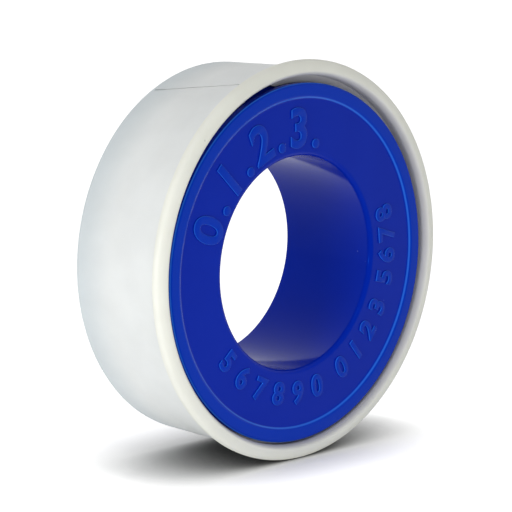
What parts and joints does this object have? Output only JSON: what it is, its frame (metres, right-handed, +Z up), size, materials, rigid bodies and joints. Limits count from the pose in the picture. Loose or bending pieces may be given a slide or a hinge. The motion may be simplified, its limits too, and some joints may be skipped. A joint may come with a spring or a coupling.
{
  "type": "thread seal tape roll",
  "caption": "Roll of thread seal tape: a flanged spool that turns inside the cup-shaped shell it clips into, with a slit for the tape.",
  "frame": {"origin": "centre of the roll: on the axis of the shell, halfway between its front rim and its back", "axes": "+Z up with the roll standing on its edge, Y along the axis, open front with the flange towards -Y"},
  "size_m": [0.05, 0.0164, 0.05],
  "materials": {
    "shell": "moulded polypropylene, satin, ivory white",
    "spool": "moulded polypropylene, glossy, royal blue",
    "tape": "unsintered PTFE film, matt white"
  },
  "bodies": {
    "shell": {"shell": "shell", "tape_lead": "tape"},
    "spool": {"spool": "spool", "tape_roll": "tape"}
  },
  "joints": [
    {"name": "spool_spin", "type": "hinge", "parent": "shell", "child": "spool", "pos_m": [0, 0, -0.00035], "axis": [0, 1, 0], "continuous": true}
  ]
}
